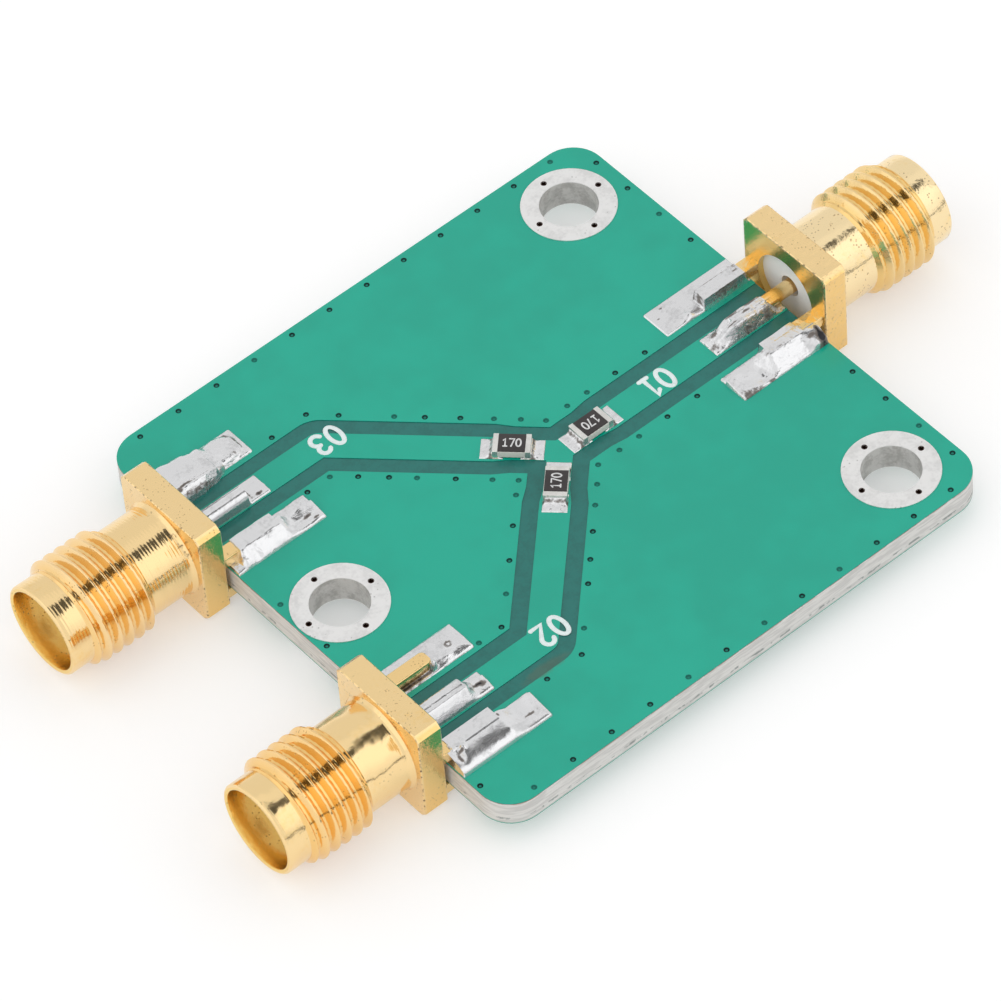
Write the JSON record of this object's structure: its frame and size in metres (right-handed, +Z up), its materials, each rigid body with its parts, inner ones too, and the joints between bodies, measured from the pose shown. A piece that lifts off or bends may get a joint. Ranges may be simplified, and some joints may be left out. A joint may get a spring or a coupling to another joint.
{
  "type": "rf power splitter",
  "caption": "Square circuit board with edge-mounted coaxial sockets, joined by a star of chip resistors, with plated mounting holes.",
  "frame": {"origin": "centre of the circuit board in plan, on the plane of the flanges' undersides", "axes": "+X from the outputs to the input, +Z up from the resting plane through the board's component side"},
  "size_m": [0.0523, 0.0322, 0.0063],
  "materials": {
    "board_mask": "glossy green solder mask over copper",
    "tin_plating": "satin tin over copper",
    "gold_plating": "bright gold plating on turned brass",
    "gold_contact": "bright gold plating",
    "dielectric": "white fluoropolymer, waxy",
    "solder": "bright hand-laid solder",
    "chip_ceramic": "white alumina",
    "chip_overcoat": "black glass",
    "chip_terminal": "satin tin"
  },
  "bodies": {
    "root": {"circuit_board": "board_mask", "hole_plating_1": "tin_plating", "hole_plating_2": "tin_plating", "hole_plating_3": "tin_plating", "connector_body_input": "gold_plating", "dielectric_input": "dielectric", "centre_contact_input": "gold_contact", "ground_solder_input_left": "solder", "ground_solder_input_right": "solder", "base_solder_input_left": "solder", "base_solder_input_right": "solder", "signal_solder_input": "solder", "resistor_body_input": "chip_ceramic", "resistor_film_input": "chip_overcoat", "resistor_caps_input": "chip_terminal", "resistor_solder_input": "solder", "connector_body_output_1": "gold_plating", "dielectric_output_1": "dielectric", "centre_contact_output_1": "gold_contact", "ground_solder_output_1_left": "solder", "ground_solder_output_1_right": "solder", "base_solder_output_1_left": "solder", "base_solder_output_1_right": "solder", "signal_solder_output_1": "solder", "resistor_body_output_1": "chip_ceramic", "resistor_film_output_1": "chip_overcoat", "resistor_caps_output_1": "chip_terminal", "resistor_solder_output_1": "solder", "connector_body_output_2": "gold_plating", "dielectric_output_2": "dielectric", "centre_contact_output_2": "gold_contact", "ground_solder_output_2_left": "solder", "ground_solder_output_2_right": "solder", "base_solder_output_2_left": "solder", "base_solder_output_2_right": "solder", "signal_solder_output_2": "solder", "resistor_body_output_2": "chip_ceramic", "resistor_film_output_2": "chip_overcoat", "resistor_caps_output_2": "chip_terminal", "resistor_solder_output_2": "solder"}
  },
  "joints": []
}
